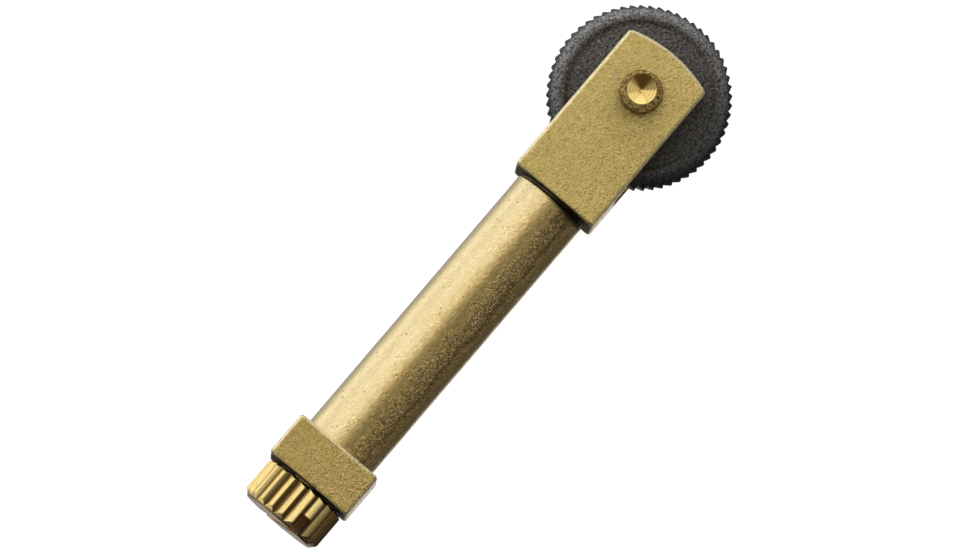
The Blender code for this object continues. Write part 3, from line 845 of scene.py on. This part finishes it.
def build_axle(finish):
    """The riveted boss, whose cone was drilled a little off its middle."""
    top = AXLE_HIGH.z
    low = AXLE_LOW.z
    seat = AXIS_Z + BLOCK_HALF + SEAT_GAP
    outline = [(low, 0.3), (low, 0.8), (low, 1.36), (low + 0.05, 1.4), (low + 0.42, RIVET_RADIUS)]
    outline += [(seat, RIVET_RADIUS), (seat, BOSS_RADIUS - 0.02), (seat + 0.03, BOSS_RADIUS)]
    outline += [(z, radius) for radius, z in arc((BOSS_RADIUS - 0.2, top - 0.24), 0.2, 0, 75, 6)]
    rows = turned_z(outline, RIVET_STEPS, AXLE)
    middle = AXLE + CONE_SHIFT
    cone_top = top - 0.02
    lip = [(top - 0.01, CONE_RADIUS + 0.09), (top, CONE_RADIUS + 0.04), (cone_top, CONE_RADIUS)]
    rim = turned_z(lip, RIVET_STEPS, middle)
    rows.append([Vector(a).lerp(Vector(b), 0.5) for a, b in zip(rows[-1], rim[0])])
    rows += rim
    for step in range(1, CONE_STEPS):
        share = 1 - step / CONE_STEPS
        depth = CONE_RADIUS * CONE_SLOPE * (1 - share)
        rows += turned_z([(cone_top - depth, CONE_RADIUS * share)], RIVET_STEPS, middle)
    bm = grid(rows)

    def height(point):
        radius = math.hypot(point.x - middle.x, point.y - middle.y)
        if radius < CONE_RADIUS + 0.05 or point.z < seat + 0.02:
            return 0.0
        return 0.02 * rough(point, 2.2, 3) - 0.05 * pit(point, 2.4, 0.25)

    push(bm, height)
    axle = object_of("axle_rivet", bm, finish)
    return settle(axle, "tool_body", ["wheel_axle"], 50.0)


WHEEL_TEETH = 61
TOOTH_ROOT = 5.85
CREST_RADIUS = 5.08
STEP_RADIUS = 4.65
CREST_HALF = 1.5
WEB_HALF = 1.48
WEB_EDGE_HALF = 1.37
BLANK_RADIUS = 6.15
WHEEL_BORE = 1.05
HUB_RADIUS = 2.1
HUB_EDGE = 0.05
STEP_COUNT = 9
CROWN_STEPS = 22
CLIMB_END = 0.7
FALL_START = 0.8
TOOTH_SHARES = (0.0, 0.12, 0.26, 0.4, 0.55, CLIMB_END, FALL_START, 0.87, 0.94)


def tooth_radius(share):
    """The saw tooth's radius at a share of its pitch: a gentle climb and a quick drop."""
    depth = WHEEL_RADIUS - TOOTH_ROOT
    if share < CLIMB_END:
        return TOOTH_ROOT + depth * (share / CLIMB_END) ** 1.1
    if share < FALL_START:
        return WHEEL_RADIUS
    return WHEEL_RADIUS - depth * (share - FALL_START) / (1 - FALL_START)


def build_wheel(finish):
    """The wheel: a turned blank with a raised rim, cut back to the teeth all round."""
    upper = [(WHEEL_HALF, WHEEL_BORE), (WHEEL_HALF, 1.5), (WHEEL_HALF, HUB_RADIUS - HUB_EDGE)]
    upper += [(WHEEL_HALF - HUB_EDGE, HUB_RADIUS), (WEB_HALF, HUB_RADIUS + 0.15)]
    upper += along((WEB_HALF, HUB_RADIUS + 0.15), (WEB_EDGE_HALF, STEP_RADIUS), 0.3)
    for step in range(1, STEP_COUNT):
        share = step / STEP_COUNT
        rise = 0.5 - 0.5 * math.cos(math.pi * share)
        z = WEB_EDGE_HALF + (CREST_HALF - WEB_EDGE_HALF) * rise
        upper.append((z, STEP_RADIUS + (CREST_RADIUS - STEP_RADIUS) * share))
    for step in range(CROWN_STEPS):
        angle = math.pi / 2 * step / CROWN_STEPS
        reach = (BLANK_RADIUS - CREST_RADIUS) * math.sin(angle)
        upper.append((CREST_HALF * math.cos(angle), CREST_RADIUS + reach))
    profile = upper + [(0.0, BLANK_RADIUS)] + [(-z, radius) for z, radius in reversed(upper)]
    rows = []
    for z, radius in profile:
        row = []
        for tooth in range(WHEEL_TEETH):
            for share in TOOTH_SHARES:
                angle = math.tau * (tooth + share) / WHEEL_TEETH
                reach = min(radius, tooth_radius(share))
                x = AXLE.x + reach * math.cos(angle)
                y = AXLE.y + reach * math.sin(angle)
                row.append((x, y, AXIS_Z + z))
        rows.append(row)
    bm = grid(rows, closed_rows=True)

    def height(point):
        radius = math.hypot(point.x - AXLE.x, point.y - AXLE.y)
        if radius < HUB_RADIUS + 0.3:
            return 0.0
        return 0.012 * rough(point, 2.4, 3)

    push(bm, height)
    wheel = object_of("toothed_wheel", bm, finish)
    return settle(wheel, "wheel", ["spark_wheel"], 35.0)


HEAD_TEETH = 21
HEAD_PHASE = math.radians(-4.0)
HEAD_GROOVE = 0.3
ROOT_SHARE = -0.37
ROOT_WIDTH = 0.03
CREST_SHARE = 0.25
CREST_ROUND = 0.3
FLANK_STEPS = 10
HEAD_CHAMFER = 0.36
FRONT_CHAMFER = 0.2
CHAMFER_STEPS = 12
CHAMFER_EDGE = 0.05
DRIVER_WIDTH = 0.75
DRIVER_DEPTH = 1.35
DRIVER_ANGLE = math.radians(29.6)
THREAD_RADIUS = 1.475
THREAD_ROOT = 1.2
THREAD_PITCH = 0.5
THREAD_STEPS = 40


def tooth_points():
    """The V-shaped tooth of the head as (share of the pitch, share of the depth) points: a
    narrow root, a flank up to a rounded crest, and a flank down again."""
    deepest = math.hypot(1.0, CREST_ROUND) - CREST_ROUND
    climb_width = CREST_SHARE - ROOT_SHARE
    fall_width = 1.0 + ROOT_SHARE - ROOT_WIDTH - CREST_SHARE
    points = []
    for step in range(2 * FLANK_STEPS + 1):
        place = step / FLANK_STEPS - 1
        share = CREST_SHARE + place * (climb_width if place < 0 else fall_width)
        depth = math.hypot(place, CREST_ROUND) - CREST_ROUND
        points.append((share, 1 - depth / deepest))
    return points


def around_x(x, radius, angle):
    """A point about the tool's axis, at an angle from straight up towards -Y."""
    return (x, -radius * math.sin(angle), AXIS_Z + radius * math.cos(angle))


def build_screw(finish):
    """The splined head with its driver slot, and the threaded shank joined to it."""
    front, end = HEAD_FRONT.x, SCREW_LOW.x
    root = HEAD_RADIUS - HEAD_GROOVE
    stations = [(end, 0.5), (end, 1.2), (end, 1.9), (end, 2.35)]
    stations += [(end + 0.02, HEAD_RADIUS - HEAD_CHAMFER - 0.03)]
    shares = [step / CHAMFER_STEPS for step in range(1, CHAMFER_STEPS + 1)]
    full = end + CHAMFER_EDGE + HEAD_CHAMFER
    for share in shares:
        x = end + CHAMFER_EDGE + HEAD_CHAMFER * share
        stations.append((x, HEAD_RADIUS - HEAD_CHAMFER * (1 - share)))
    stations += along((full, HEAD_RADIUS), (front - FRONT_CHAMFER, HEAD_RADIUS), 0.16)
    for share in shares:
        x = front - FRONT_CHAMFER * (1 - share)
        stations.append((x, HEAD_RADIUS - HEAD_CHAMFER * share))
    stations += [(front, 1.8), (front, 0.9)]
    rows = []
    for x, largest in stations:
        row = []
        for tooth in range(HEAD_TEETH):
            for share, height in tooth_points():
                radius = min(root + HEAD_GROOVE * height, largest)
                angle = HEAD_PHASE + math.tau * (tooth + share) / HEAD_TEETH
                row.append(around_x(x, radius, angle))
        rows.append(row)
    bm = grid(rows)
    push(bm, lambda point: 0.005 * rough(point, 1.6, 3))
    screw = object_of("splined_thumb_screw", bm, finish)
    reach = Vector((DRIVER_DEPTH, DRIVER_WIDTH / 2, 2 * HEAD_RADIUS))
    slot = cutter_box(-reach, reach)
    slot.matrix_world = Matrix.Translation((end, 0, AXIS_Z)) @ Matrix.Rotation(DRIVER_ANGLE, 4, "X")
    carve(screw, [slot])
    shank = object_of("cutter", thread_rows(front - 0.8, front + 0.6, SCREW_HIGH.x))
    carve(screw, [shank], "UNION")
    return settle(screw, "screw", ["thumb_screw"])


def thread_rows(root_x, start, end):
    """A right-hand thread with rounded crests on a plain neck, one row for each station."""
    rows = []
    station = root_x
    while station < end - 1e-6:
        row = []
        for step in range(THREAD_STEPS):
            turn = step / THREAD_STEPS
            phase = ((station - start) / THREAD_PITCH - turn) % 1.0
            crest = 0.5 + 0.5 * math.cos(math.tau * phase)
            fade = min(1.0, max(0.0, (station - start) / 0.5), max(0.0, (end - station) / 0.3))
            radius = THREAD_ROOT + (THREAD_RADIUS - THREAD_ROOT) * crest**0.8 * fade
            row.append(around_x(station, radius, math.tau * turn))
        rows.append(row)
        station += THREAD_PITCH / 10
    angles = [math.tau * step / THREAD_STEPS for step in range(THREAD_STEPS)]
    rows.append([around_x(end, THREAD_ROOT - 0.1, angle) for angle in angles])
    return grid(rows)


SMALL_STEPS = 48


def build_flint(number, finish):
    """A cylindrical flint. The first one is worn hollow to the wheel's radius."""
    node = f"flint_{number}"
    low, high = box_mm(node)
    radius = high.y
    profile = [(low.x, 0.4), (low.x, 0.85), (low.x + 0.02, radius - 0.06), (low.x + 0.06, radius)]
    profile += along((low.x + 0.06, radius), (high.x - 0.1, radius), 0.2)
    profile += [(high.x - 0.03, radius - 0.03), (high.x, radius - 0.12), (high.x, 0.8), (high.x, 0.4)]
    bm = grid(turned_x(profile, SMALL_STEPS))
    push(bm, lambda point: -0.02 * abs(rough(point, 2.0, 3)))
    flint = object_of(f"flint_rod_{number}", bm, finish)
    if number == 1:
        reach = WHEEL_RADIUS + 0.04
        form = turned_z([(AXIS_Z - 2.0, reach), (AXIS_Z + 2.0, reach)], 240, AXLE)
        carve(flint, [round_cutter(form)])
    return settle(flint, "flint_stack", [node])


STEM_RADIUS = 0.6


def build_plunger(finish):
    """The flints' follower: a head 1 mm thick on a thin stem."""
    low, high = PLUNGER_LOW, PLUNGER_HIGH
    radius = high.y
    edge = radius - 0.08
    profile = [(high.x, 0.4), (high.x, edge), (high.x - 0.08, radius), (high.x - 0.92, radius)]
    profile += [(high.x - 1.0, edge), (high.x - 1.0, 0.62), (high.x - 1.04, STEM_RADIUS)]
    profile += along((high.x - 1.04, STEM_RADIUS), (low.x + 0.12, STEM_RADIUS), 0.4)
    profile += [(low.x, 0.48), (low.x, 0.2)]
    plunger = object_of("plunger_rod", grid(turned_x(profile, SMALL_STEPS)), finish)
    return settle(plunger, "flint_stack", ["flint_plunger"])


WIRE_RADIUS = 0.14
COIL_RADIUS = 1.03
ACTIVE_TURNS = 7
TURNS = ACTIVE_TURNS + 2
CLOSED_PITCH = 0.32
STEPS_PER_TURN = 28
WIRE_SIDES = 10


def coil_rows(first_turn, last_turn):
    """Rings of wire from one turn of the feed spring to another, back end first."""
    back = SPRING_LOW.x + WIRE_RADIUS
    climb = SPRING_HIGH.x - SPRING_LOW.x - 2 * WIRE_RADIUS
    pitch = (climb - 2 * CLOSED_PITCH) / ACTIVE_TURNS
    rows = []
    for step in range(round(first_turn * STEPS_PER_TURN), round(last_turn * STEPS_PER_TURN) + 1):
        turn = step / STEPS_PER_TURN
        closed = min(turn, 1) + max(turn - (TURNS - 1), 0)
        active = min(max(turn - 1, 0), ACTIVE_TURNS)
        x = back + closed * CLOSED_PITCH + active * pitch
        row = []
        for side in range(WIRE_SIDES):
            angle = math.tau * side / WIRE_SIDES
            radius = COIL_RADIUS + WIRE_RADIUS * math.cos(angle)
            row.append(around_x(x + WIRE_RADIUS * math.sin(angle), radius, math.tau * turn))
        rows.append(row)
    return rows


def build_spring(finish):
    """A round-wire coil with one closed turn at each end, built as a back half and a front half."""
    halves = [
        ("feed_coil_back", 0, TURNS / 2, "spring_seat", SPRING_LOW.x),
        ("feed_coil_front", TURNS / 2, TURNS, "flint_stack", SPRING_HIGH.x),
    ]
    for name, first_turn, last_turn, body, far_end in halves:
        coil = object_of(name, grid(coil_rows(first_turn, last_turn)), finish)
        coil.data.transform(Matrix.Scale(MM, 4))
        coil.data.shade_smooth()
        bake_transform(coil)
        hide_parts("feed_spring")


# ----------------------------------------------------------------------- stage

CAMERA_AIM = Vector((-0.04, -0.04, 3.25)) * MM
CAMERA_DISTANCE = 0.6887
CAMERA_AZIMUTH = math.radians(-155.23)
CAMERA_TILT = math.radians(5.797)
TOOL_ANGLE = math.radians(49.54)
LENS = 387.86


def build_camera():
    """Looks down at the tool, with the tool's length at its angle across the picture."""
    lean = math.sin(CAMERA_TILT)
    lean_x = lean * math.cos(CAMERA_AZIMUTH)
    lean_y = lean * math.sin(CAMERA_AZIMUTH)
    back = Vector((lean_x, lean_y, math.cos(CAMERA_TILT)))
    length = Vector((1, 0, 0))
    length = (length - back * length.dot(back)).normalized()
    across = back.cross(length)
    right = length * math.cos(TOOL_ANGLE) - across * math.sin(TOOL_ANGLE)
    up = back.cross(right)
    data = bpy.data.cameras.new("camera")
    data.lens = LENS
    data.clip_start = 0.01
    camera = bpy.data.objects.new("camera", data)
    turn = Matrix((right, up, back)).transposed().to_4x4()
    camera.matrix_world = Matrix.Translation(CAMERA_AIM + back * CAMERA_DISTANCE) @ turn
    bpy.context.scene.collection.objects.link(camera)
    bpy.context.scene.camera = camera


def softbox(name, azimuth, elevation, distance, size, radiance):
    """A rectangular light facing the tool. Azimuth is from +X towards +Y, in degrees."""
    data = bpy.data.lights.new(name, "AREA")
    data.shape = "RECTANGLE"
    data.size, data.size_y = size
    data.energy = radiance * math.pi * size[0] * size[1]
    light = bpy.data.objects.new(name, data)
    a, e = math.radians(azimuth), math.radians(elevation)
    away = Vector((math.cos(e) * math.cos(a), math.cos(e) * math.sin(a), math.sin(e)))
    light.location = away * distance
    light.rotation_euler = away.to_track_quat("Z", "Y").to_euler()
    light.visible_camera = False
    bpy.context.scene.collection.objects.link(light)


WORLD_RADIANCE = 0.32
DARK_RADIANCE = 0.06
DARK_AZIMUTH = math.radians(-150)
SOFTBOXES = [  # name, azimuth, elevation, distance, (width, height), radiance
    ("ceiling", 88, 50, 1.2, (1.3, 1.4), 1.08),
    ("overhead", 25, 84, 1.5, (0.55, 0.55), 0.32),
    ("left_wall", 82, 8, 1.3, (1.3, 0.5), 0.9),
    ("back_window", 36, 25, 1.2, (0.8, 0.7), 1.4),
    ("back_wall", 30, 3, 1.2, (0.9, 0.35), 1.7),
    ("front_window", -4, 28, 1.2, (0.9, 0.7), 1.1),
    ("right_window", -53, 28, 1.2, (0.95, 0.7), 0.52),
    ("left_window", 150, 28, 1.2, (0.8, 0.7), 0.15),
]


def plane(name, height, color):
    """A wide level sheet that shines white where its paint says so."""
    bm = bmesh.new()
    bmesh.ops.create_grid(bm, x_segments=8, y_segments=8, size=3.0)
    bmesh.ops.translate(bm, vec=(0, 0, height), verts=bm.verts)
    made = object_of(name, bm)
    paint = Paint(name + "_paint")
    paint.put((1.0, 1.0, 1.0), paint.shader.inputs["Emission Color"])
    made.data.materials.append(paint.finish(color, 0.7, 0.0))
    return made, paint


def build_world():
    """A soft grey room with one dark side."""
    world = bpy.data.worlds.new("studio")
    world.use_nodes = True
    tree = world.node_tree
    place = tree.nodes.new("ShaderNodeTexCoord")
    toward = tree.nodes.new("ShaderNodeVectorMath")
    toward.operation = "DOT_PRODUCT"
    toward.inputs[1].default_value = (math.cos(DARK_AZIMUTH), math.sin(DARK_AZIMUTH), 0.0)
    tree.links.new(place.outputs["Generated"], toward.inputs[0])
    fall = tree.nodes.new("ShaderNodeMapRange")
    fall.interpolation_type = "SMOOTHSTEP"
    fall.inputs["From Min"].default_value = 0.42
    fall.inputs["From Max"].default_value = 0.60
    fall.inputs["To Min"].default_value = WORLD_RADIANCE
    fall.inputs["To Max"].default_value = DARK_RADIANCE
    tree.links.new(toward.outputs["Value"], fall.inputs["Value"])
    tree.links.new(fall.outputs["Result"], tree.nodes["Background"].inputs["Strength"])
    tree.nodes["Background"].inputs["Color"].default_value = (1, 1, 1, 1)
    bpy.context.scene.world = world


def build_stage():
    """A pale floor. What the metal mirrors is a card just above it, which is bright on the
    side of the lights and dark on the other."""
    floor, paint = plane("floor", -0.00002, (0.3, 0.3, 0.3))
    paint.put(0.96, paint.shader.inputs["Emission Strength"])
    floor.visible_glossy = False
    floor.visible_diffuse = False
    card, paint = plane("floor_card", 0.00001, (0.0, 0.0, 0.0))
    _, y, _ = paint.parts()
    lit = paint.fit(y, 3.5, 18.0, 0.26, 0.95)
    dim = paint.fit(y, -4.6, -4.2, 0.45, 1.5)
    near = paint.times(paint.fit(y, -4.6, -4.3), paint.fit(y, -2.9, -3.2, 0.0, 0.5))
    glow = paint.math("MULTIPLY_ADD", lit, dim, near)
    paint.put(glow, paint.shader.inputs["Emission Strength"])
    card.visible_camera = False
    card.visible_shadow = False
    card.visible_transmission = False
    build_world()
    for box in SOFTBOXES:
        softbox(*box)
    bpy.context.scene.view_settings.view_transform = "Standard"


def build_tool():
    build_yoke()
    build_collar()
    build_barrel(tube_brass())
    middle = AXLE + CONE_SHIFT
    build_axle(axle_brass(middle, CONE_RADIUS))
    build_wheel(wheel_steel())
    build_screw(screw_brass(HEAD_RADIUS - HEAD_GROOVE))
    lacquer = flint_lacquer()
    for number in (1, 2, 3):
        build_flint(number, lacquer)
    build_plunger(plunger_brass())
    build_spring(wire_steel())


build_camera()
build_stage()
build_tool()
